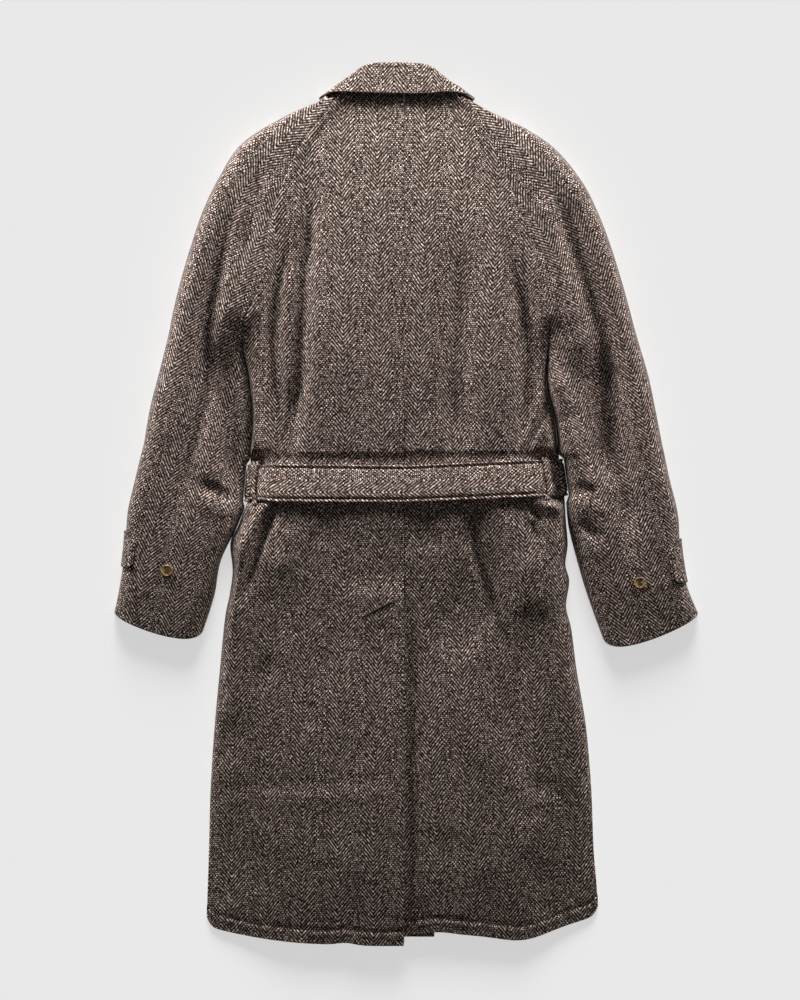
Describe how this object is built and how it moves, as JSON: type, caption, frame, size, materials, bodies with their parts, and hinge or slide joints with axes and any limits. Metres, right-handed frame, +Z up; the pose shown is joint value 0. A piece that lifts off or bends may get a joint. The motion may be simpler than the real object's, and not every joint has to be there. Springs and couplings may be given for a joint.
{
  "type": "tweed overcoat",
  "caption": "Belted raglan overcoat of brown herringbone tweed, laid flat on its front, with a turned-down collar, a back vent and cuff tabs.",
  "frame": {"origin": "centre of the bounding box at its base, on the surface that the coat lies on", "axes": "+Z up out of the coat's back, +Y towards the collar, -X towards the wearer's left"},
  "size_m": [0.766, 1.1537, 0.0442],
  "materials": {
    "tweed": "napped herringbone wool in brown and cream",
    "horn": "polished mottled horn"
  },
  "bodies": {
    "root": {"back_left": "tweed", "back_right": "tweed", "front_left": "tweed", "front_right": "tweed", "sleeve_left_back": "tweed", "sleeve_left_front": "tweed", "sleeve_right_back": "tweed", "sleeve_right_front": "tweed", "collar": "tweed", "belt": "tweed", "belt_loop_left": "tweed", "belt_loop_right": "tweed", "cuff_tab_left": "tweed", "cuff_tab_right": "tweed", "cuff_button_left": "horn", "cuff_button_right": "horn"}
  },
  "joints": []
}
